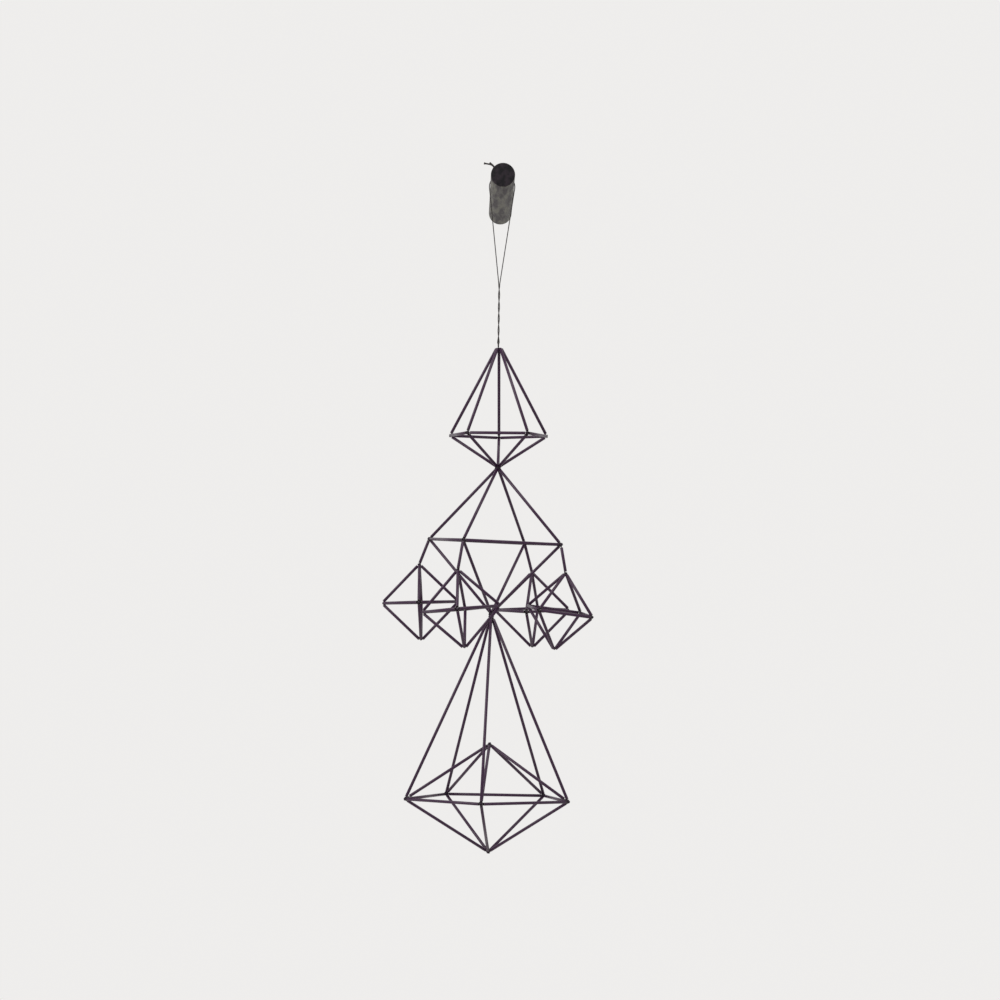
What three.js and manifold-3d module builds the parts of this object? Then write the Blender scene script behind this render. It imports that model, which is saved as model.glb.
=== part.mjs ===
// Hanging geometric mobile of thin black tubes, with the thread and the wall peg that hold it up.
// Millimetres. Origin: centre of the peg's flat wall face. +Y points into the wall, +Z up.

import * as THREE from 'three';
import Module from 'manifold-3d';
import { mergeVertices } from 'three/addons/utils/BufferGeometryUtils.js';

const wasm = await Module();
wasm.setup();

// Peg
const PEG_R = 12;
const PEG_LENGTH = 215;
const PEG_RISE = 4;
const PEG_CHAMFER = 0.2;
const PEG_SIDES = 28;

// Where the thread hangs
const HANG_Y = -150;
const HANG_X = -1.4;
const APEX_Z = -148.3;

// Thread
const STRING_R = 0.5;
const PAIR_R = 0.55;
const TWIST_TURNS = 2.5;
const JUNCTION_X = -1.8;
const JUNCTION_Z = -87.2;
const BIGHT_X = -2;
const BIGHT_R = 2;
const BIGHT_NECK = 3;
const LEAVE_RIGHT = -8;
const LEAVE_LEFT = 186.2;
const KNOT_R = 1.5;
const KNOT_ANGLE = 111;

// The two tails of the thread, as steps to the left and up from the knot
const SHORT_TAIL = [[0.7, 1.4], [1.9, 3.8], [3.7, 7.7], [5.7, 9.8], [8.1, 11.2]];
const LONG_TAIL = [[1, 1.3], [2.5, 4], [4.3, 7.8], [6.6, 9.3], [13.7, 10.6]];
const TAIL_APART = 0.45;

// Tubes
const TUBE_R = 1.5;
const TUBE_WALL = 0.3;
const TUBE_SIDES = 8;
const SMALL_SECTION_R = 1.66;
const SMALL_SIDES = 4;
const SMALL_OVERLAP = 0.1;
const LINK_TOP_TRIM = 1.7;
const LINK_FOOT_TRIM = 1.3;
const GAP = 0.3;

// Binding wire
const WIRE_R = 0.4;
const WIRE_SIDES = 3;
const TIE_R = 0.9;
const APEX_TIE_DROP = 4.8;
const WIRE_BEND_INSIDE = 0.3;

// Edge lengths from corner to corner
const TOP = { sides: 5, up: 105.4, belt: 60.6, low: 61 };
const MIDDLE = { sides: 4, up: 104.6, belt: 103.4, low: 102.8 };
const BOTTOM = { sides: 5, up: 204.8, belt: 100.8, low: 100.8, inner: 101.8 };
const SMALL = { sides: 4, up: 55.2, belt: 55.2, low: 55.2 };

// How each unit hangs, in degrees: fore about X, side about Y, turn about its own axis.
// start is the direction of its first belt corner.
const TOP_POSE = { fore: -1, side: -0.15, turn: -1.5, start: 90 };
const MIDDLE_POSE = { fore: -0.1, side: 2, turn: -25.6, start: -90 };
const BOTTOM_POSE = { fore: -0.8, side: 0.1, turn: -5.6, start: -90 };

// The four links: belt corner of the middle unit, lean and its turn from straight outward, length,
// and how the octahedron on it hangs
const LINKS = {
  front: { corner: 0, lean: 21.1, aside: 0, length: 31.2, fore: -2, side: -5.4, turn: -5.9, start: -90 },
  right: { corner: 1, lean: 11.1, aside: 0, length: 28.6, fore: 2.3, side: 7.8, turn: -34.5, start: -90 },
  back: { corner: 2, lean: 20.7, aside: -20, length: 31.3, fore: 1.9, side: -1.1, turn: -10, start: -90 },
  left: { corner: 3, lean: 23.2, aside: 0, length: 27.9, fore: -1.4, side: -1.9, turn: -1.2, start: -90 },
};

const rad = THREE.MathUtils.degToRad;
const black = new THREE.MeshStandardMaterial({ color: 0x16151a, roughness: 0.4, metalness: 0.3 });
const wireDark = new THREE.MeshStandardMaterial({ color: 0x1b1a1c, roughness: 0.55, metalness: 0.4 });
const thread = new THREE.MeshStandardMaterial({ color: 0x2b2321, roughness: 0.9 });
const pegWood = new THREE.MeshStandardMaterial({ color: 0x2e2b2b, roughness: 0.6 });

const group = new THREE.Group();
group.name = 'hanging_geometric_mobile';

function addMesh(parent, name, geometry, material) {
  const mesh = new THREE.Mesh(geometry, material.clone());
  mesh.name = name;
  parent.add(mesh);
  return mesh;
}

function toSolid(geometry) {
  const clean = geometry.clone();
  clean.deleteAttribute('normal');
  clean.deleteAttribute('uv');
  const merged = mergeVertices(clean, 1e-4);
  const mesh = new wasm.Mesh({
    numProp: 3,
    vertProperties: new Float32Array(merged.attributes.position.array),
    triVerts: new Uint32Array(merged.index.array),
  });
  mesh.merge();
  return new wasm.Manifold(mesh);
}

function toGeometry(solid) {
  const mesh = solid.getMesh();
  const geometry = new THREE.BufferGeometry();
  geometry.setAttribute('position', new THREE.BufferAttribute(mesh.vertProperties, 3));
  geometry.setIndex(new THREE.BufferAttribute(mesh.triVerts, 1));
  geometry.computeVertexNormals();
  return geometry;
}

function fuse(geometries) {
  return toGeometry(wasm.Manifold.union(geometries.map(toSolid)));
}

// A curve whose steps fall on its own points.
class ThroughPoints extends THREE.CatmullRomCurve3 {
  getUtoTmapping(u) {
    return u;
  }
}

// A solid round rod along a line of points.
function sweep(points, radius, sides) {
  const section = new THREE.Shape();
  for (let k = 0; k < sides; k += 1) {
    const angle = (k / sides) * 2 * Math.PI;
    const place = [radius * Math.cos(angle), radius * Math.sin(angle)];
    if (k === 0) section.moveTo(...place);
    else section.lineTo(...place);
  }
  section.closePath();
  return new THREE.ExtrudeGeometry(section, {
    steps: points.length - 1,
    bevelEnabled: false,
    extrudePath: new ThroughPoints(points),
  });
}

// A hollow tube between two points, cut square at both ends. One corner of its section faces `outward`.
function tubeGeometry(from, to, outer, sides, outward) {
  const length = from.distanceTo(to);
  const inner = outer - TUBE_WALL / Math.cos(Math.PI / sides);
  const profile = [
    new THREE.Vector2(inner, -length / 2),
    new THREE.Vector2(outer, -length / 2),
    new THREE.Vector2(outer, length / 2),
    new THREE.Vector2(inner, length / 2),
    new THREE.Vector2(inner, -length / 2),
  ];
  const geometry = new THREE.LatheGeometry(profile, sides);
  const along = to.clone().sub(from).normalize();
  const facing = outward.clone().addScaledVector(along, -outward.dot(along)).normalize();
  const basis = new THREE.Matrix4().makeBasis(along.clone().cross(facing), along, facing);
  geometry.applyMatrix4(basis);
  const middle = from.clone().add(to).multiplyScalar(0.5);
  geometry.translate(middle.x, middle.y, middle.z);
  return geometry;
}

// How far a tube stops short of a corner so that it clears a neighbour at this angle.
function clearTrim(angle) {
  return (TUBE_R + GAP / 2) / Math.tan(angle / 2);
}

// Angle at the tip of a triangle with two equal sides.
function tipAngle(side, base) {
  return 2 * Math.asin(base / 2 / side);
}

// Corners of a unit that hangs from its top corner at the local origin.
function unitCorners(unit, start) {
  const reach = unit.belt / 2 / Math.sin(Math.PI / unit.sides);
  const beltZ = -Math.sqrt(unit.up ** 2 - reach ** 2);
  const belt = [];
  for (let i = 0; i < unit.sides; i += 1) {
    const angle = rad(start) + (i / unit.sides) * 2 * Math.PI;
    belt.push(new THREE.Vector3(reach * Math.cos(angle), reach * Math.sin(angle), beltZ));
  }
  const corners = { top: new THREE.Vector3(0, 0, 0), belt };
  corners.bottom = new THREE.Vector3(0, 0, beltZ - Math.sqrt(unit.low ** 2 - reach ** 2));
  if (unit.inner) corners.inner = new THREE.Vector3(0, 0, beltZ + Math.sqrt(unit.inner ** 2 - reach ** 2));
  return corners;
}

// The edges of a unit, each with the trims at its two ends.
function unitEdges(unit, corners) {
  const face = clearTrim(rad(60));
  const topTrim = Math.max(face, clearTrim(tipAngle(unit.up, unit.belt)));
  const edges = [];
  corners.belt.forEach((corner, i) => {
    const next = corners.belt[(i + 1) % unit.sides];
    const id = i + 1;
    edges.push({ name: `upper_${id}`, from: corners.top, to: corner, trims: [topTrim, face] });
    edges.push({ name: `belt_${id}`, from: corner, to: next, trims: [face, face] });
    edges.push({ name: `lower_${id}`, from: corners.bottom, to: corner, trims: [face, face] });
    if (unit.inner) {
      const between = corner.angleTo(corner.clone().sub(corners.inner));
      edges.push({ name: `inner_${id}`, from: corners.inner, to: corner, trims: [face, clearTrim(between)] });
    }
  });
  return edges;
}

function trimmed(edge) {
  const along = edge.to.clone().sub(edge.from).normalize();
  const from = edge.from.clone().addScaledVector(along, edge.trims[0]);
  const to = edge.to.clone().addScaledVector(along, -edge.trims[1]);
  return [from, to];
}

function hang(parent, name, at, pose) {
  const unit = new THREE.Group();
  unit.name = name;
  unit.position.copy(at);
  unit.rotation.set(rad(pose.fore), rad(pose.side), rad(pose.turn));
  parent.add(unit);
  unit.updateMatrixWorld(true);
  return unit;
}

const wireRuns = [];
const wireTies = [];

function wireAlong(unit, points) {
  wireRuns.push(points.map((point) => unit.localToWorld(point.clone())));
}

function tieAt(unit, corner) {
  wireTies.push(unit.localToWorld(corner.clone()));
}

// The wire's way through an edge. From a lowered top tie it turns into the tube just inside its end.
function wirePoints(edge, corners, topTie) {
  if (edge.from !== corners.top || topTie === corners.top) return [edge.from, edge.to];
  const along = edge.to.clone().sub(edge.from).normalize();
  const bend = edge.from.clone().addScaledVector(along, edge.trims[0] + WIRE_BEND_INSIDE);
  return [topTie, bend, edge.to];
}

// A large unit: one mesh for each tube, with the wire through every tube. Returns its corners.
function addUnit(name, at, size, pose, tieDrop = 0) {
  const unit = hang(group, name, at, pose);
  const corners = unitCorners(size, pose.start);
  const topTie = tieDrop ? new THREE.Vector3(0, 0, -tieDrop) : corners.top;
  unitEdges(size, corners).forEach((edge) => {
    const [from, to] = trimmed(edge);
    const outward = from.clone().add(to).setZ(0);
    addMesh(unit, `${name}_${edge.name}`, tubeGeometry(from, to, TUBE_R, TUBE_SIDES, outward), black);
    wireAlong(unit, wirePoints(edge, corners, topTie));
  });
  tieAt(unit, topTie);
  tieAt(unit, corners.bottom);
  corners.belt.forEach((corner) => tieAt(unit, corner));
  if (corners.inner) tieAt(unit, corners.inner);
  return { unit, corners, bottom: unit.localToWorld(corners.bottom.clone()) };
}

// A small octahedron: its tubes overlap at the corners and make one solid with open bores.
function addSmallOctahedron(name, at, pose) {
  const reach = (SMALL_SECTION_R * Math.cos(Math.PI / SMALL_SIDES)) / Math.tan(rad(30));
  const trim = reach - SMALL_OVERLAP;
  const unit = hang(group, `${name}_group`, at, pose);
  const corners = unitCorners(SMALL, pose.start);
  const centre = corners.top.clone().add(corners.bottom).multiplyScalar(0.5);
  const tubes = unitEdges(SMALL, corners).map((edge) => {
    const [from, to] = trimmed({ ...edge, trims: [trim, trim] });
    const outward = from.clone().add(to).multiplyScalar(0.5).sub(centre);
    return tubeGeometry(from, to, SMALL_SECTION_R, SMALL_SIDES, outward);
  });
  addMesh(unit, name, fuse(tubes), black);
}

function addLink(name, middle, link) {
  const top = middle.unit.localToWorld(middle.corners.belt[link.corner].clone());
  const axisPoint = middle.unit.localToWorld(middle.corners.belt[link.corner].clone().setX(0).setY(0));
  const outward = top.clone().sub(axisPoint).setZ(0).normalize();
  outward.applyAxisAngle(new THREE.Vector3(0, 0, 1), rad(link.aside));
  const along = outward.clone().multiplyScalar(Math.sin(rad(link.lean)));
  along.z = -Math.cos(rad(link.lean));
  const foot = top.clone().addScaledVector(along, link.length);
  const towardsBottom = middle.bottom.clone().sub(top);
  const crowded = clearTrim(along.angleTo(towardsBottom));
  const trims = [crowded > clearTrim(rad(60)) ? crowded : LINK_TOP_TRIM, LINK_FOOT_TRIM];
  const [from, to] = trimmed({ from: top, to: foot, trims });
  addMesh(group, `link_${name}`, tubeGeometry(from, to, TUBE_R, TUBE_SIDES, outward), black);
  wireAlong(group, [top, foot]);
  tieAt(group, foot);
  addSmallOctahedron(`small_octahedron_${name}`, foot, link);
}

function addWire() {
  const runs = wireRuns.map((run) => sweep(run, WIRE_R, WIRE_SIDES));
  const ties = wireTies.map((at) => new THREE.OctahedronGeometry(TIE_R, 0).translate(at.x, at.y, at.z));
  addMesh(group, 'binding_wire', fuse([...runs, ...ties]), wireDark);
}

function addPeg() {
  const unit = new THREE.Group();
  unit.name = 'peg';
  unit.rotation.x = -rad(PEG_RISE);
  group.add(unit);
  const profile = [
    new THREE.Vector2(0, -PEG_LENGTH),
    new THREE.Vector2(PEG_R - PEG_CHAMFER, -PEG_LENGTH),
    new THREE.Vector2(PEG_R, -PEG_LENGTH + PEG_CHAMFER),
    new THREE.Vector2(PEG_R, 0),
    new THREE.Vector2(0, 0),
  ];
  const geometry = new THREE.LatheGeometry(profile, PEG_SIDES);
  const position = geometry.attributes.position;
  for (let i = 0; i < position.count; i += 1) {
    if (position.getY(i) === 0) position.setY(i, -position.getZ(i) * Math.tan(rad(PEG_RISE)));
  }
  geometry.computeVertexNormals();
  addMesh(unit, 'wall_peg', geometry, pegWood);
}

function inHangPlane(x, z, forward = 0) {
  return new THREE.Vector3(x, HANG_Y - forward, z);
}

// One strand of the twisted pair, from the junction down to the bight. side is +1 or -1.
function twistedStrand(side, bottomZ, steps) {
  const points = [];
  for (let i = 0; i <= steps; i += 1) {
    const t = i / steps;
    const angle = -t * TWIST_TURNS * 2 * Math.PI + (side > 0 ? 0 : Math.PI);
    points.push(new THREE.Vector3(
      JUNCTION_X + (BIGHT_X - JUNCTION_X) * t + PAIR_R * Math.cos(angle),
      HANG_Y + PAIR_R * Math.sin(angle),
      JUNCTION_Z + (bottomZ - JUNCTION_Z) * t,
    ));
  }
  return points;
}

// The bight: the thread's turn under the top unit's tie, edge on to the front.
function bightPoints(centreZ) {
  return [20, -10, -35, -60, -90, -120, -145, -170, -200].map((degrees) => inHangPlane(
    BIGHT_X,
    centreZ + BIGHT_R * Math.sin(rad(degrees)),
    -BIGHT_R * Math.cos(rad(degrees)),
  ));
}

// Points near both ends of a straight stretch, so that it stays straight.
function straight(from, to) {
  return [0.03, 0.97].map((t) => from.clone().lerp(to, t));
}

// The thread is one piece: tail, knot, over the peg, down the right, round the top tie and back.
function addString() {
  const centreZ = -HANG_Y * Math.tan(rad(PEG_RISE));
  const nearPeg = (radius, degrees) => inHangPlane(
    radius * Math.cos(rad(degrees)),
    centreZ + radius * Math.sin(rad(degrees)),
  );
  const wrapped = (from, to, steps) => Array.from({ length: steps + 1 }, (_, i) => (
    nearPeg(PEG_R + STRING_R + GAP, from + ((to - from) * i) / steps)
  ));
  const knot = nearPeg(PEG_R + KNOT_R + GAP, KNOT_ANGLE);
  const overPeg = wrapped(KNOT_ANGLE - 9, LEAVE_RIGHT, 8);
  const leftOfPeg = wrapped(LEAVE_LEFT, KNOT_ANGLE + 9, 5);
  const bightZ = APEX_Z - APEX_TIE_DROP + TIE_R + GAP + STRING_R + BIGHT_R;
  const down = twistedStrand(1, bightZ + BIGHT_NECK, 20);
  const up = twistedStrand(-1, bightZ + BIGHT_NECK, 20).reverse();
  const right = straight(overPeg[overPeg.length - 1], down[0]);
  const left = straight(up[up.length - 1], leftOfPeg[0]);
  const tail = (steps, forward) => steps.map(([aside, rise]) => (
    inHangPlane(knot.x - aside, knot.z + rise, forward)
  ));
  const hanging = [...right, ...down, ...bightPoints(bightZ), ...up, ...left];
  const loop = [knot, ...overPeg, ...hanging, ...leftOfPeg, knot];
  const shortTail = [knot, ...tail(SHORT_TAIL, -TAIL_APART)];
  const longTail = [knot, ...tail(LONG_TAIL, TAIL_APART)];
  const ball = new THREE.IcosahedronGeometry(KNOT_R, 0).translate(knot.x, knot.y, knot.z);
  const runs = [shortTail, loop, longTail].map((points) => sweep(points, STRING_R, 8));
  addMesh(group, 'hanging_string', fuse([...runs, ball]), thread);
}

addPeg();
addString();
const apex = new THREE.Vector3(HANG_X, HANG_Y, APEX_Z);
const top = addUnit('top', apex, TOP, TOP_POSE, APEX_TIE_DROP);
const middle = addUnit('middle', top.bottom, MIDDLE, MIDDLE_POSE);
addUnit('bottom', middle.bottom, BOTTOM, BOTTOM_POSE);
Object.entries(LINKS).forEach(([name, link]) => addLink(name, middle, link));
addWire();

export default group;
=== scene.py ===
"""The look of a hanging mobile of thin black tubes: camera, thread, tubes, wire ties, peg and light."""

import math
import random

import bpy
import numpy as np
from mathutils import Matrix, Vector


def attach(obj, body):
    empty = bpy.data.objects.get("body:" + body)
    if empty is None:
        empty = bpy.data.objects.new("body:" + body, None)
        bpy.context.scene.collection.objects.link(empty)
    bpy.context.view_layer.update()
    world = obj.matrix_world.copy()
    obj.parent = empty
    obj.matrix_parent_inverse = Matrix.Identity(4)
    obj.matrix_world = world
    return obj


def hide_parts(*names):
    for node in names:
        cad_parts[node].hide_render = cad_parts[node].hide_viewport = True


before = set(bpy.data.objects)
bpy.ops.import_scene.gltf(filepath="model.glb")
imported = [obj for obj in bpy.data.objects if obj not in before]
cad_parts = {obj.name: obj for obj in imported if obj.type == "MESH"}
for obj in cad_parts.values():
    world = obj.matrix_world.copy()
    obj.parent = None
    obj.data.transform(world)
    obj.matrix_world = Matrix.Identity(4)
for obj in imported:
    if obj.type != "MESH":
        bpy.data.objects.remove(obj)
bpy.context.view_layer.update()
MM = 0.001

# Camera, in millimetres and degrees. The clip distances are in metres.
CAMERA_AT = (-36.3, -3371.8, -362.3)
CAMERA_HEADING = -0.67
CAMERA_PITCH = 1.01
CAMERA_ROLL = 0.64
CAMERA_LENS = 115.2
CAMERA_SENSOR = 36.0
CAMERA_CLIP = (0.1, 50.0)

# Tubes, in millimetres
TUBE_R = 1.5
TUBE_WALL = 0.3
TUBE_SIDES = 40
TUBE_EDGE = 0.07
TUBE_SHARP_ANGLE = 50
SMALL_TRIM = 2.5
SMALL_RING_TRIM = 1.93
# Two corners of a small octahedron are joined by a tube when they are nearer than this many edges.
NEIGHBOUR_EDGES = 1.25
CORNER_REACH = 12.0

# Wire, in millimetres. It reaches from deep in a tube through its mouth to the corner.
WIRE_R = 0.36
WIRE_SIDES = 8
WIRE_STEP = 0.35
WIRE_DEEP = 3.5
WIRE_MOUTH = 0.6
WIRE_STRAY = 0.3

# Ties. A tie draws its wires towards the corner's point by pull and has turns up to half on each side.
LIGHT_TIE = {"pull": 0.4, "turns_r": 0.5, "half": 0.5}
HEAVY_TIE = {"pull": 0.5, "turns_r": 1.35, "half": 1.3}
FULL_TIE = {"pull": 0.62, "turns_r": 2.05, "half": 2.1}
MEETING_TIE = {"pull": 0.62, "turns_r": 3.0, "half": 3.6}
FULL_TIE_ENDS = 5
MEETING_TIE_ENDS = 8
BALL_END = 0.45
INNER_SHARE = 0.5
INNER_END_R = 0.5
# In a corner with this many ends no wire runs between tubes that point away from each other.
CROWDED_ENDS = 5
OPPOSED = -0.2
TIE_SEED = 7

# Turns of wire. They waver a little in radius.
TURN_PITCH = 0.66
FEWEST_TURNS = 2.5
POINTS_PER_TURN = 12
TURN_WAVER = 0.12
WAVER_RATE = 2.3
TURN_ACROSS = (0.3, 0.8, 0.5)

# Bundles, in millimetres: ties of corners where steep tubes end far below the corner's point
STEEP = -0.8
BUNDLE_STEEP_ENDS = 3
BUNDLE_R = 2.3
BUNDLE_FOOT_R = 2.5
BUNDLE_RISE = 1.6
BUNDLE_DROP = 3.4
BUNDLE_SHARES = (1, 0.62, 0.3)
LONE_BUNDLE_DROP = 0.8
LONE_BUNDLE_HEIGHT = 1.7

# Thread, with the route that the CAD part gives it, in millimetres and degrees
STRING_R = 0.5
STRING_CLEAR = 0.3
THREAD_SIDES = 16
THREAD_STEP = 0.25
HANG_Y = -150.0
APEX_Z = -148.3
TIE_DROP = 4.8
TIE_R = 0.9
JUNCTION_X = -1.8
JUNCTION_Z = -87.2
PAIR_R = 0.55
PAIR_POINTS = 60
TWIST_TURNS = 2.5
BIGHT_X = -2.0
BIGHT_R = 2.0
BIGHT_NECK = 3.0
BIGHT_FROM = 20
BIGHT_TO = -200
BIGHT_POINTS = 14
LEAVE_RIGHT = -8.0
LEAVE_LEFT = 186.2
OVER_POINTS = 22
LEFT_POINTS = 14
STRAIGHT_SHARES = (0.03, 0.35, 0.65, 0.97)
CURVE_POINTS = 9

# The thread's knot and tails. A tail's steps are how far aside of the knot and above it.
KNOT_R = 1.5
KNOT_ANGLE = 111.0
KNOT_HALF_ANGLE = 9.0
KNOT_POINTS = 90
KNOT_STEP = 0.35
KNOT_SHARE = 0.24
KNOT_DEPTH = 1.7
SHORT_TAIL = [(0.7, 1.4), (1.9, 3.8), (3.7, 7.7), (5.7, 9.8), (8.1, 11.2)]
LONG_TAIL = [(1.0, 1.3), (2.5, 4.0), (4.3, 7.8), (6.6, 9.3), (13.7, 10.6)]
TAIL_APART = 0.45

# The thread's plies, and how much it swells at its tips, in its tails and above the top tie
PLY_PITCH = 2.4
PLY_DEPTH = 0.12
TIP_SWELL = 0.75
TIP_SIZE = 0.7
TAIL_SWELL = 0.7
TAIL_LENGTH = 15
NECK_SWELL = 0.6
NECK_Z = -148.0
NECK_LENGTH = 4

# Peg, in millimetres and degrees. The edge's angles are in radians.
PEG_R = 12.0
PEG_RISE = 4.0
PEG_LENGTH = 215.0
PEG_SIDES = 96
PEG_EDGE = 0.2
PEG_EDGE_ANGLES = (0.5, 1.05)
PEG_FIRST_RING = 4
PEG_RINGS = 60
PEG_END_SHARES = (0.6, 0.25)
PEG_SHARP_ANGLE = 40

# Room and lights, in metres and watts
ROOM_COLOUR = (0.86, 0.85, 0.84, 1.0)
FLOOR_HALF = 3
FLOOR_Z = -1.7
LIGHT_TARGET = (0, -0.15, -0.35)
LIGHTS = {
    "window": {"at": (-2.2, -1.6, 1.2), "size": (1.6, 1.8), "power": 60, "colour": (1.0, 0.99, 0.97)},
    "ceiling": {"at": (0.8, -1.0, 2.4), "size": (1.2, 1.2), "power": 30, "colour": (1.0, 0.98, 0.95)},
}


def mm(x, y, z):
    """A point given in millimetres, in metres."""
    return Vector((x, y, z)) * MM


def make_camera():
    data = bpy.data.cameras.new("photo_camera")
    data.lens = CAMERA_LENS
    data.sensor_width = CAMERA_SENSOR
    data.clip_start, data.clip_end = CAMERA_CLIP
    camera = bpy.data.objects.new("photo_camera", data)
    turn = Matrix.Rotation(math.radians(CAMERA_HEADING), 4, "Z")
    turn @= Matrix.Rotation(math.radians(CAMERA_PITCH), 4, "X")
    turn @= Matrix.Rotation(math.radians(-CAMERA_ROLL), 4, "Y")
    turn @= Matrix.Rotation(math.radians(90), 4, "X")
    camera.matrix_world = Matrix.Translation(mm(*CAMERA_AT)) @ turn
    bpy.context.scene.collection.objects.link(camera)
    bpy.context.scene.camera = camera


# Meshes


def mesh_object(name, vertices, faces, attributes=None):
    """A new smooth object from points in metres. attributes is {name: one number for each point}."""
    mesh = bpy.data.meshes.new(name)
    mesh.from_pydata([tuple(v) for v in vertices], [], faces)
    for key, values in (attributes or {}).items():
        layer = mesh.attributes.new(key, "FLOAT", "POINT")
        layer.data.foreach_set("value", np.asarray(values, np.float32))
    mesh.polygons.foreach_set("use_smooth", [True] * len(mesh.polygons))
    mesh.update()
    obj = bpy.data.objects.new(name, mesh)
    bpy.context.scene.collection.objects.link(obj)
    return obj


def finish_piece(obj, material, replaces):
    """Gives a piece its material, hangs it on the root body and hides the CAD nodes that it stands for."""
    obj.data.materials.append(material)
    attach(obj, "root")
    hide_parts(*replaces)


def ring_frames(points):
    """For each point of a line: its direction and two directions across it, carried along without twist."""
    points = np.asarray(points, float)
    along = np.gradient(points, axis=0)
    along /= np.linalg.norm(along, axis=1)[:, None]
    side = np.cross(along[0], [0.0, 1.0, 0.0])
    if np.linalg.norm(side) < 0.2:
        side = np.cross(along[0], [1.0, 0.0, 0.0])
    frames = []
    for direction in along:
        side = side - direction * (side @ direction)
        side /= np.linalg.norm(side)
        frames.append((direction, side, np.cross(direction, side)))
    return frames


def rod_faces(rings, sides):
    """Faces of a closed rod made of rings of points."""
    faces = []
    for i in range(rings - 1):
        for k in range(sides):
            a = i * sides + k
            b = i * sides + (k + 1) % sides
            faces.append((a, b, b + sides, a + sides))
    last = (rings - 1) * sides
    faces.append(tuple(reversed(range(sides))))
    faces.append(tuple(range(last, last + sides)))
    return faces


def sweep(points, radius_at, sides):
    """Vertices and faces of a closed rod along a line. radius_at(i, angle) gives its radius."""
    vertices = []
    for i, (point, (_, side, across)) in enumerate(zip(points, ring_frames(points))):
        for k in range(sides):
            angle = 2 * math.pi * k / sides
            radius = radius_at(i, angle)
            offset = radius * (math.cos(angle) * side + math.sin(angle) * across)
            vertices.append(np.asarray(point) + offset)
    return vertices, rod_faces(len(points), sides)


# Places read from the CAD solids


def node_points(name):
    """A solid's different vertices, told apart to a thousandth of a millimetre."""
    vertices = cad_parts[name].data.vertices
    return np.unique(np.round([tuple(v.co) for v in vertices], 6), axis=0)


def split_ends(points):
    """Centres of the two end rings of a straight tube."""
    centre = points.mean(0)
    axis = np.linalg.svd(points - centre, full_matrices=False)[2][0]
    along = (points - centre) @ axis
    return points[along < 0].mean(0), points[along > 0].mean(0)


def corner_clusters(points):
    """Groups of points that lie at one corner."""
    left = list(range(len(points)))
    groups = []
    while left:
        seed = left[0]
        near = [i for i in left if np.linalg.norm(points[i] - points[seed]) < CORNER_REACH * MM]
        groups.append(near)
        left = [i for i in left if i not in near]
    return groups


def small_octahedron_tubes(name):
    """The two ends of each of the twelve tubes that one fused solid stands for."""
    points = node_points(name)
    rings = np.array([points[group].mean(0) for group in corner_clusters(points)])
    centre = rings.mean(0)
    radius = np.linalg.norm(rings - centre, axis=1).mean()
    inset = SMALL_RING_TRIM * MM * math.cos(math.radians(45))
    corners = centre + (rings - centre) * (radius + inset) / radius
    tubes = []
    for i in range(len(corners)):
        for j in range(i + 1, len(corners)):
            gap = corners[j] - corners[i]
            length = np.linalg.norm(gap)
            if length < NEIGHBOUR_EDGES * radius * math.sqrt(2):
                trim = gap / length * SMALL_TRIM * MM
                tubes.append((corners[i] + trim, corners[j] - trim))
    return tubes


def all_tubes():
    """Every tube as (name, end, end, the CAD node that it stands for)."""
    tubes = []
    for node in sorted(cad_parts):
        if node.startswith("small_octahedron"):
            for i, (a, b) in enumerate(small_octahedron_tubes(node)):
                tubes.append((f"{node}_tube_{i + 1:02d}", a, b, node))
        elif node not in ("wall_peg", "hanging_string", "binding_wire"):
            a, b = split_ends(node_points(node))
            tubes.append((f"{node}_tube", a, b, node))
    return tubes


def tie_for(group, small):
    """Light between small tubes only, fuller the more long tubes meet, heavy elsewhere."""
    if all(small[i] for i in group):
        return LIGHT_TIE
    if len(group) < FULL_TIE_ENDS or any(small[i] for i in group):
        return HEAVY_TIE
    return MEETING_TIE if len(group) >= MEETING_TIE_ENDS else FULL_TIE


def corners_of(tubes):
    """Where tubes meet: each corner's point, the tube ends around it with their directions, and its tie."""
    ends = []
    small = []
    for _, a, b, node in tubes:
        direction = (b - a) / np.linalg.norm(b - a)
        ends.append((a, direction))
        ends.append((b, -direction))
        small.extend([node.startswith("small_octahedron")] * 2)
    corners = []
    for group in corner_clusters(np.array([end for end, _ in ends])):
        total = np.zeros((3, 3))
        target = np.zeros(3)
        for i in group:
            end, direction = ends[i]
            across = np.eye(3) - np.outer(direction, direction)
            total += across
            target += across @ end
        corners.append((np.linalg.solve(total, target), [ends[i] for i in group], tie_for(group, small)))
    return corners


# Materials


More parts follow.
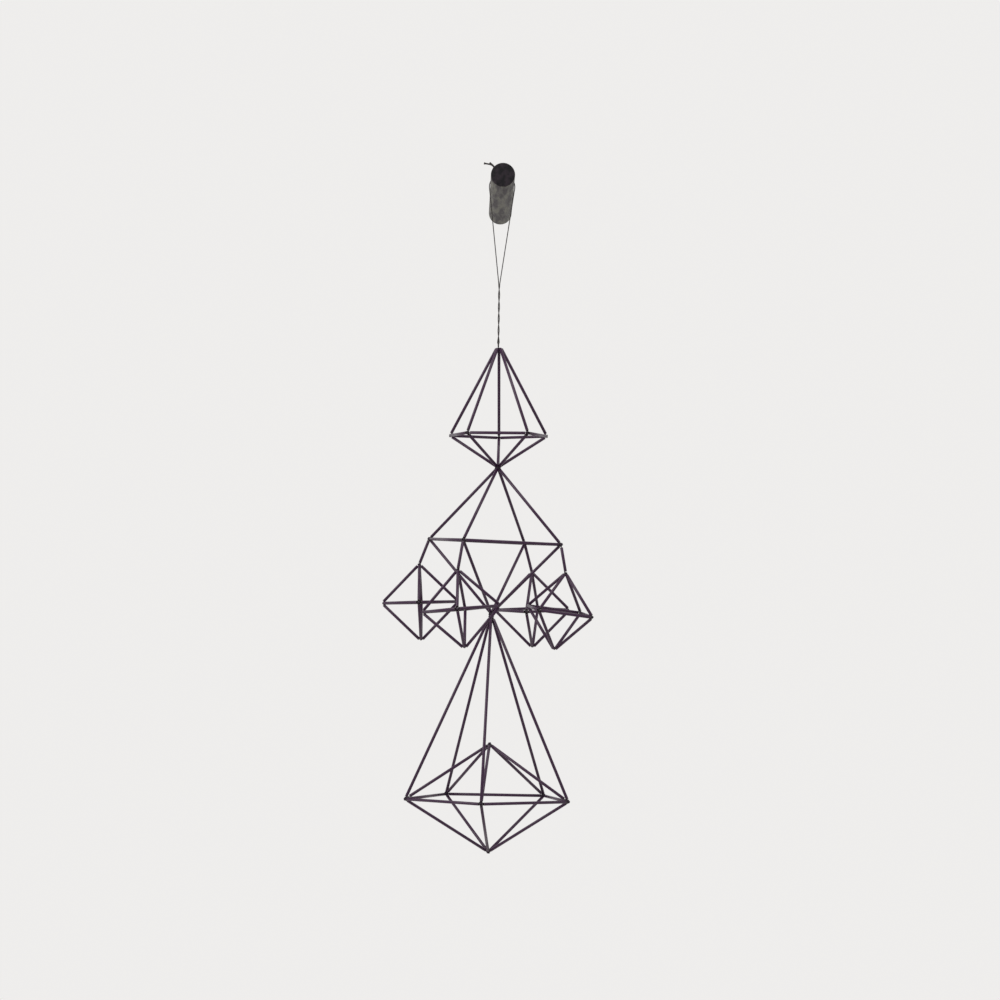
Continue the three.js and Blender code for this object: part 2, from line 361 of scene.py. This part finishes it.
class Nodes:
    """Short calls that add nodes to one material and link them."""

    def __init__(self, name):
        self.material = bpy.data.materials.new(name)
        self.material.use_nodes = True
        self.tree = self.material.node_tree
        self.shader = self.tree.nodes["Principled BSDF"]

    def add(self, kind, inputs=None, **settings):
        node = self.tree.nodes.new(kind)
        for key, value in settings.items():
            setattr(node, key, value)
        for key, value in (inputs or {}).items():
            self.put(node.inputs[key], value)
        return node

    def put(self, socket, value):
        if isinstance(value, bpy.types.NodeSocket):
            self.tree.links.new(value, socket)
        else:
            socket.default_value = value

    def place(self):
        return self.add("ShaderNodeTexCoord").outputs["Object"]

    def stretched(self, vector, along):
        """The place shortened along y, so that a pattern is drawn out along the peg."""
        inputs = {"Vector": vector, "Scale": (1.0, along, 1.0)}
        return self.add("ShaderNodeMapping", inputs).outputs["Vector"]

    def noise(self, vector, scale, detail=3.0, rough=0.55):
        inputs = {"Vector": vector, "Scale": scale, "Detail": detail, "Roughness": rough}
        return self.add("ShaderNodeTexNoise", inputs).outputs["Fac"]

    def ramp(self, value, low, high, to_low=0.0, to_high=1.0):
        inputs = {
            "Value": value,
            "From Min": low,
            "From Max": high,
            "To Min": to_low,
            "To Max": to_high,
        }
        return self.add("ShaderNodeMapRange", inputs).outputs["Result"]

    def mix(self, factor, first, second):
        node = self.add("ShaderNodeMix", data_type="RGBA")
        self.put(node.inputs["Factor"], factor)
        self.put(node.inputs["A"], first)
        self.put(node.inputs["B"], second)
        return node.outputs["Result"]

    def math(self, operation, first, second):
        node = self.add("ShaderNodeMath", operation=operation)
        self.put(node.inputs[0], first)
        self.put(node.inputs[1], second)
        return node.outputs["Value"]

    def attribute(self, name):
        return self.add("ShaderNodeAttribute", attribute_name=name).outputs["Fac"]

    def bump(self, height, strength, distance):
        inputs = {"Height": height, "Strength": strength, "Distance": distance}
        return self.add("ShaderNodeBump", inputs).outputs["Normal"]

    def surface(self, **inputs):
        for key, value in inputs.items():
            self.put(self.shader.inputs[key.replace("_", " ")], value)
        return self.material


def rgba(r, g, b):
    return (r, g, b, 1.0)


def tube_material():
    """Satin black coat, a little worn at the cut ends."""
    dark, light = rgba(0.018, 0.0042, 0.0200), rgba(0.034, 0.0095, 0.036)
    bare_metal = rgba(0.11, 0.10, 0.095)
    n = Nodes("black_tube_coat")
    where = n.place()
    blotch = n.noise(where, scale=260.0, detail=4.0)
    fine = n.noise(where, scale=2400.0)
    end = n.math("MINIMUM", n.attribute("from_start"), n.attribute("to_end"))
    ragged = n.math("ADD", end, n.math("MULTIPLY", n.noise(where, scale=1700.0), -0.9))
    worn = n.ramp(ragged, low=-0.1, high=-0.42)
    return n.surface(
        Base_Color=n.mix(worn, n.mix(blotch, dark, light), bare_metal),
        Roughness=n.ramp(blotch, low=0.3, high=0.7, to_low=0.27, to_high=0.40),
        Metallic=n.math("MULTIPLY", worn, 0.7),
        Specular_IOR_Level=0.28,
        Normal=n.bump(fine, strength=0.12, distance=0.00004),
    )


def wire_material():
    """Dark drawn wire, duller than the tubes."""
    dark, light = rgba(0.012, 0.0055, 0.013), rgba(0.028, 0.016, 0.029)
    n = Nodes("dark_wire")
    where = n.place()
    blotch = n.noise(where, scale=900.0, detail=4.0)
    return n.surface(
        Base_Color=n.mix(blotch, dark, light),
        Roughness=n.ramp(blotch, low=0.3, high=0.7, to_low=0.42, to_high=0.62),
        Metallic=0.5,
        Normal=n.bump(n.noise(where, scale=5200.0), strength=0.25, distance=0.00003),
    )


def thread_material():
    """Dark brown-black plied thread, with painted shade in the furrows between its plies."""
    dark, light = rgba(0.009, 0.007, 0.0075), rgba(0.030, 0.022, 0.021)
    groove_shade_colour = rgba(0.008, 0.006, 0.006)
    n = Nodes("plied_thread")
    fibre = n.noise(n.place(), scale=6500.0, detail=4.0)
    return n.surface(
        # Painted shade: the thread darkens towards the furrow between its plies.
        Base_Color=n.mix(n.attribute("groove"), n.mix(fibre, dark, light), groove_shade_colour),
        Roughness=0.88,
        Sheen_Weight=0.1,
        Sheen_Roughness=0.5,
        Normal=n.bump(fibre, strength=0.5, distance=0.00006),
    )


def peg_material():
    """Dark stained wood with its grain along the peg, rubbed on the underside. Its end face is darker still:
    dark stain with painted shade.
    """
    dark, light = rgba(0.026, 0.024, 0.0255), rgba(0.088, 0.078, 0.075)
    olive = rgba(0.048, 0.047, 0.038)
    dirt = rgba(0.020, 0.019, 0.021)
    stain = rgba(0.017, 0.011, 0.014)
    rubbed = rgba(0.094, 0.090, 0.074)
    # The end face's colours are its dark stain with painted shade for the shade that the face gets.
    end_shade_dark, end_shade_light = rgba(0.0005, 0.0002, 0.0016), rgba(0.0125, 0.0080, 0.0125)
    n = Nodes("dark_stained_peg")
    where = n.place()
    drawn_out = n.stretched(where, 0.06)
    grain = n.noise(drawn_out, scale=900.0, detail=6.0, rough=0.65)
    broad = n.noise(drawn_out, scale=190.0, detail=4.0)
    speck = n.noise(where, scale=420.0, detail=5.0, rough=0.7)
    blotch = n.noise(n.stretched(where, 0.12), scale=170.0, rough=0.6)
    side = n.mix(grain, dark, light)
    side = n.mix(n.ramp(broad, low=0.35, high=0.7), side, olive)
    side = n.mix(n.ramp(speck, low=0.56, high=0.70, to_high=0.7), side, dirt)
    side = n.mix(n.ramp(blotch, low=0.50, high=0.58), side, stain)
    side = n.mix(n.ramp(blotch, low=0.48, high=0.40, to_high=0.9), side, rubbed)
    end = n.mix(n.ramp(n.noise(where, scale=230.0), low=0.38, high=0.62), end_shade_dark, end_shade_light)
    height = n.math("ADD", n.math("MULTIPLY", grain, 0.7), n.math("MULTIPLY", speck, 0.5))
    return n.surface(
        Base_Color=n.mix(n.attribute("end_face"), side, end),
        Roughness=n.ramp(speck, low=0.3, high=0.7, to_low=0.5, to_high=0.7),
        Specular_IOR_Level=0.2,
        Normal=n.bump(height, strength=0.35, distance=0.0002),
    )


def floor_material():
    return Nodes("pale_floor").surface(Base_Color=rgba(0.75, 0.74, 0.72), Roughness=0.8)


# Thread


def hang_plane(x, z, forward=0.0):
    """A point in the upright plane in which the thread hangs, or so far in front of it."""
    return mm(x, HANG_Y - forward, z)


def near_peg(radius, degrees):
    """A point around the peg, in the thread's plane."""
    centre_z = -HANG_Y * math.tan(math.radians(PEG_RISE))
    angle = math.radians(degrees)
    return hang_plane(radius * math.cos(angle), centre_z + radius * math.sin(angle))


def wrapped(start, end, count):
    """The thread on the peg's surface, between two angles."""
    radius = PEG_R + STRING_R + STRING_CLEAR
    return [near_peg(radius, degrees) for degrees in np.linspace(start, end, count)]


def knot_place():
    return near_peg(PEG_R + STRING_CLEAR + KNOT_R, KNOT_ANGLE)


def strand(phase, bottom_z):
    """One strand of the twisted pair, from the junction down to the bight."""
    points = []
    for t in np.linspace(0, 1, PAIR_POINTS):
        angle = -t * TWIST_TURNS * 2 * math.pi + phase
        x = JUNCTION_X + (BIGHT_X - JUNCTION_X) * t
        z = JUNCTION_Z + (bottom_z - JUNCTION_Z) * t
        points.append(mm(x + PAIR_R * math.cos(angle), HANG_Y + PAIR_R * math.sin(angle), z))
    return points


def bight_points(centre_z):
    """The thread's turn under the top tie, edge on to the front."""
    return [
        hang_plane(BIGHT_X, centre_z + BIGHT_R * math.sin(a), -BIGHT_R * math.cos(a))
        for a in np.radians(np.linspace(BIGHT_FROM, BIGHT_TO, BIGHT_POINTS))
    ]


def straight(start, end):
    """Points along a stretch, near both of its ends too, so that it stays straight."""
    return [start.lerp(end, t) for t in STRAIGHT_SHARES]


def tail(steps, forward):
    knot = knot_place() / MM
    return [hang_plane(knot.x - aside, knot.z + rise, forward) for aside, rise in steps]


def thread_route():
    """The points that the thread follows: tail, over the peg, down, round the tie, up, tail."""
    over = wrapped(KNOT_ANGLE - KNOT_HALF_ANGLE, LEAVE_RIGHT, OVER_POINTS)
    left = wrapped(LEAVE_LEFT, KNOT_ANGLE + KNOT_HALF_ANGLE, LEFT_POINTS)
    bight_z = APEX_Z - TIE_DROP + TIE_R + STRING_CLEAR + STRING_R + BIGHT_R
    down = strand(0, bight_z + BIGHT_NECK)
    up = strand(math.pi, bight_z + BIGHT_NECK)[::-1]
    hanging = [*straight(over[-1], down[0]), *down, *bight_points(bight_z), *up, *straight(up[-1], left[0])]
    return [*tail(SHORT_TAIL, -TAIL_APART)[::-1], *over, *hanging, *left, *tail(LONG_TAIL, TAIL_APART)]


def even_points(points, step):
    """A smooth line through points, stepped evenly, and its length."""
    points = np.array([tuple(p) for p in points])
    smooth = []
    padded = np.vstack([2 * points[0] - points[1], points, 2 * points[-1] - points[-2]])
    for a, b, c, d in zip(padded, padded[1:], padded[2:], padded[3:]):
        ab, bc, cd = (max(np.linalg.norm(q - p), 1e-9) ** 0.5 for p, q in ((a, b), (b, c), (c, d)))
        start = (c - b) + bc * ((b - a) / ab - (c - a) / (ab + bc))
        end = (c - b) + bc * ((d - c) / cd - (d - b) / (bc + cd))
        for t in np.linspace(0, 1, CURVE_POINTS)[:-1]:
            h = (2 * t**3 - 3 * t**2 + 1, t**3 - 2 * t**2 + t, 3 * t**2 - 2 * t**3, t**3 - t**2)
            smooth.append(h[0] * b + h[1] * start + h[2] * c + h[3] * end)
    smooth.append(points[-1])
    smooth = np.array(smooth)
    lengths = np.linalg.norm(np.diff(smooth, axis=0), axis=1)
    walked = np.concatenate([[0], np.cumsum(lengths)])
    stops = np.linspace(0, walked[-1], max(2, int(walked[-1] / step)))
    return np.stack([np.interp(stops, walked, smooth[:, k]) for k in range(3)], axis=1), walked[-1]


def plied(line, step, swell=None):
    """A rod along a line with the furrows of two twisted plies, and for each point how much painted shade it
    gets in a furrow. swell(i) widens it at a point of the line.
    """
    groove_shade_amounts = []

    def radius_at(i, angle):
        turn = 2 * math.pi * i * step / (PLY_PITCH * MM)
        lobe = abs(math.cos(angle - turn))
        # How deep a point lies in the furrow between the plies, which sets its painted shade.
        groove_shade_amounts.append((1 - lobe) ** 2)
        return STRING_R * MM * (1 - PLY_DEPTH * (1 - lobe)) * (swell(i) if swell else 1)

    vertices, faces = sweep(line, radius_at, THREAD_SIDES)
    return vertices, faces, groove_shade_amounts


def knot_line():
    """A small overhand knot drawn tight, where the tails leave the thread."""
    centre = np.array(knot_place())
    points = []
    for t in np.linspace(0, 2 * math.pi, KNOT_POINTS):
        x = math.sin(t) + 2 * math.sin(2 * t)
        y = -KNOT_DEPTH * math.sin(3 * t)
        z = math.cos(t) - 2 * math.cos(2 * t)
        points.append(centre + np.array([x, y, z]) * KNOT_R * KNOT_SHARE * MM)
    return points


def make_thread(material):
    line, length = even_points(thread_route(), THREAD_STEP * MM)
    step = length / (len(line) - 1)

    def swell(i):
        from_tip = min(i, len(line) - 1 - i) * step / MM
        blob = TIP_SWELL * math.exp(-((from_tip - TIP_SIZE) / TIP_SIZE) ** 2)
        neck = NECK_SWELL * math.exp(-((line[i][2] / MM - NECK_Z) / NECK_LENGTH) ** 2)
        return 1 + blob + neck + TAIL_SWELL * (from_tip < TAIL_LENGTH)

    vertices, faces, groove_shade_amounts = plied(line, step, swell)
    thread = mesh_object("hanging_thread", vertices, faces, {"groove": groove_shade_amounts})
    finish_piece(thread, material, ["hanging_string"])
    vertices, faces, groove_shade_amounts = plied(knot_line(), KNOT_STEP * MM)
    knot = mesh_object("thread_knot", vertices, faces, {"groove": groove_shade_amounts})
    finish_piece(knot, material, ["hanging_string"])


# Tubes and ties


def make_tube(name, a, b, node, material):
    """A thin-walled tube with its cut edges just broken."""
    length = float(np.linalg.norm(b - a))
    direction, side, across = ring_frames([a, b])[0]
    outer = TUBE_R * MM
    inner = (TUBE_R - TUBE_WALL) * MM
    edge = TUBE_EDGE * MM
    profile = [
        (inner, edge),
        (inner + edge, 0),
        (outer - edge, 0),
        (outer, edge),
        (outer, length - edge),
        (outer - edge, length),
        (inner + edge, length),
        (inner, length - edge),
    ]
    vertices = []
    starts = []
    for radius, along in profile:
        for k in range(TUBE_SIDES):
            angle = 2 * math.pi * k / TUBE_SIDES
            around = radius * (math.cos(angle) * side + math.sin(angle) * across)
            vertices.append(a + direction * along + around)
            starts.append(along / MM)
    faces = []
    for i in range(len(profile)):
        here = i * TUBE_SIDES
        there = (i + 1) % len(profile) * TUBE_SIDES
        for k in range(TUBE_SIDES):
            after = (k + 1) % TUBE_SIDES
            faces.append((here + k, there + k, there + after, here + after))
    attributes = {"from_start": starts, "to_end": [length / MM - start for start in starts]}
    tube = mesh_object(name, vertices, faces, attributes)
    tube.data.set_sharp_from_angle(angle=math.radians(TUBE_SHARP_ANGLE))
    finish_piece(tube, material, [node])


def wire_run(first, second, middle):
    """Wire from inside one tube, through the corner, into another tube. Each tube is (end, direction)."""
    end, direction = first
    other, towards = second
    return [
        end + direction * WIRE_DEEP * MM,
        end + direction * WIRE_MOUTH * MM,
        middle,
        other + towards * WIRE_MOUTH * MM,
        other + towards * WIRE_DEEP * MM,
    ]


def stray(rng):
    """A small random step, so that no two wires lie alike."""
    return np.array([rng.uniform(-1, 1) for _ in range(3)]) * WIRE_STRAY * MM


def tie_runs(point, ends, pull, rng):
    """Wires between the tubes of one corner. pull draws them from the tubes' ends to the corner's point."""
    runs = []
    for i, (end, direction) in enumerate(ends):
        for other, towards in ends[i + 1:]:
            if direction @ towards < OPPOSED and len(ends) >= CROWDED_ENDS:
                continue
            shift = stray(rng)
            middle = point * pull + (end + other) / 2 * (1 - pull) + shift
            runs.append(wire_run((end, direction), (other, towards), middle))
    return runs


def coil(start, end, radius, end_radius, rng):
    """Turns of wire wound round a straight core from start to end, tapering between two radii."""
    axis = end - start
    length = np.linalg.norm(axis)
    axis /= length
    side = np.cross(axis, TURN_ACROSS)
    side /= np.linalg.norm(side)
    across = np.cross(axis, side)
    phase = rng.uniform(0, 2 * math.pi)
    turns = max(FEWEST_TURNS, length / MM / TURN_PITCH)
    points = []
    for t in np.linspace(0, 1, int(turns * POINTS_PER_TURN)):
        angle = phase + t * turns * 2 * math.pi
        spread = (radius + (end_radius - radius) * t) * MM * (1 + TURN_WAVER * math.sin(WAVER_RATE * angle))
        around = spread * (math.cos(angle) * side + math.sin(angle) * across)
        points.append(start + around + axis * t * length)
    return points


def corner_tie(point, ends, tie, rng):
    """Wires of an ordinary corner with turns round them, which form a ball where many tubes meet."""
    pull = tie["pull"]
    runs = tie_runs(point, ends, pull, rng)
    heart = point * pull + np.mean([end for end, _ in ends], axis=0) * (1 - pull)
    axis = sum(direction for _, direction in ends) + np.array([0, 0, 0.01])
    half = axis / np.linalg.norm(axis) * tie["half"] * MM
    radius = tie["turns_r"]
    if tie in (LIGHT_TIE, HEAVY_TIE):
        runs.append(coil(heart - half, heart + half, radius, radius, rng))
    else:
        for tip in (heart - half, heart + half):
            runs.append(coil(heart, tip, radius, radius * BALL_END, rng))
    if tie is not LIGHT_TIE:
        runs.append(coil(heart - half, heart + half, radius * INNER_SHARE, INNER_END_R, rng))
    return runs


def upwards(height):
    return np.array([0, 0, height]) * MM


def bundle_tie(point, ends, rng):
    """Wires of a corner where steep tubes end far below it: they gather into a wound upright bundle."""
    steep = [pair for pair in ends if pair[1][2] < STEEP]
    level = [pair for pair in ends if pair[1][2] >= STEEP]
    low = np.mean([end for end, _ in steep], axis=0) - upwards(BUNDLE_DROP if level else LONE_BUNDLE_DROP)
    high = point + upwards(BUNDLE_RISE) if level else low + upwards(LONE_BUNDLE_HEIGHT)
    foot = BUNDLE_FOOT_R if level else BUNDLE_R
    runs = []
    for pairs, gather in ((steep, low), (level, high)):
        for i, pair in enumerate(pairs):
            runs.append(wire_run(pair, pairs[(i + 1) % len(pairs)], gather + stray(rng)))
    for share in BUNDLE_SHARES:
        runs.append(coil(low, high, foot * share, BUNDLE_R * share, rng))
    return runs


def make_ties(corners, material):
    rng = random.Random(TIE_SEED)
    vertices = []
    faces = []
    for point, ends, tie in corners:
        bundled = sum(direction[2] < STEEP for _, direction in ends) >= BUNDLE_STEEP_ENDS
        runs = bundle_tie(point, ends, rng) if bundled else corner_tie(point, ends, tie, rng)
        for run in runs:
            line, _ = even_points(run, WIRE_STEP * MM)
            new_vertices, new_faces = sweep(line, lambda i, angle: WIRE_R * MM, WIRE_SIDES)
            base = len(vertices)
            vertices.extend(new_vertices)
            faces.extend(tuple(base + v for v in face) for face in new_faces)
    ties = mesh_object("corner_ties", vertices, faces)
    finish_piece(ties, material, ["binding_wire"])


# Peg


def peg_stations():
    """The peg's rings as (radius, distance along it). None stands for the wall's plane."""
    stations = [(PEG_R, None)]
    stations += [(PEG_R, along) for along in np.linspace(PEG_FIRST_RING, PEG_LENGTH - PEG_EDGE, PEG_RINGS)]
    for a in PEG_EDGE_ANGLES:
        stations.append((PEG_R - PEG_EDGE * (1 - math.cos(a)), PEG_LENGTH - PEG_EDGE * (1 - math.sin(a))))
    stations.append((PEG_R - PEG_EDGE, PEG_LENGTH))
    stations += [(PEG_R * share, PEG_LENGTH) for share in PEG_END_SHARES]
    return stations


def make_peg(material):
    """Round peg, flush with the wall's plane at one end and cut square with a broken edge at the other."""
    rise = math.radians(PEG_RISE)
    out = Vector((0, -math.cos(rise), math.sin(rise)))
    up = Vector((0, math.sin(rise), math.cos(rise)))
    right = Vector((1, 0, 0))
    stations = peg_stations()
    vertices = []
    end_face = []
    for radius, along in stations:
        for k in range(PEG_SIDES):
            angle = 2 * math.pi * k / PEG_SIDES
            x = radius * math.cos(angle)
            z = radius * math.sin(angle)
            distance = z * math.tan(rise) if along is None else along
            vertices.append((right * x + up * z + out * distance) * MM)
            # Marks the end face, which the material paints darker with painted shade.
            end_face.append(1.0 if along == PEG_LENGTH else 0.0)
    faces = rod_faces(len(stations), PEG_SIDES)
    peg = mesh_object("round_wall_peg", vertices, faces, {"end_face": end_face})
    peg.data.set_sharp_from_angle(angle=math.radians(PEG_SHARP_ANGLE))
    finish_piece(peg, material, ["wall_peg"])


# Stage


def make_stage():
    bpy.context.scene.view_settings.view_transform = "Standard"
    world = bpy.data.worlds.new("pale_room")
    world.use_nodes = True
    background = world.node_tree.nodes["Background"]
    background.inputs["Color"].default_value = ROOM_COLOUR
    background.inputs["Strength"].default_value = 1.0
    bpy.context.scene.world = world
    around = ((-1, -1), (1, -1), (1, 1), (-1, 1))
    corners = [(x * FLOOR_HALF, y * FLOOR_HALF, FLOOR_Z) for x, y in around]
    floor = mesh_object("floor", corners, [(0, 1, 2, 3)])
    floor.data.materials.append(floor_material())


def area_light(name, at, size, power, colour):
    data = bpy.data.lights.new(name, "AREA")
    data.shape = "RECTANGLE"
    data.size, data.size_y = size
    data.energy = power
    data.color = colour
    light = bpy.data.objects.new(name, data)
    light.location = at
    light.rotation_mode = "QUATERNION"
    light.rotation_quaternion = (Vector(LIGHT_TARGET) - Vector(at)).to_track_quat("-Z", "Y")
    bpy.context.scene.collection.objects.link(light)


make_camera()
make_thread(thread_material())
black = tube_material()
tubes = all_tubes()
for tube_name, start, end, cad_node in tubes:
    make_tube(tube_name, start, end, cad_node, black)
make_ties(corners_of(tubes), wire_material())
make_peg(peg_material())
make_stage()
for light_name, settings in LIGHTS.items():
    area_light(light_name, **settings)
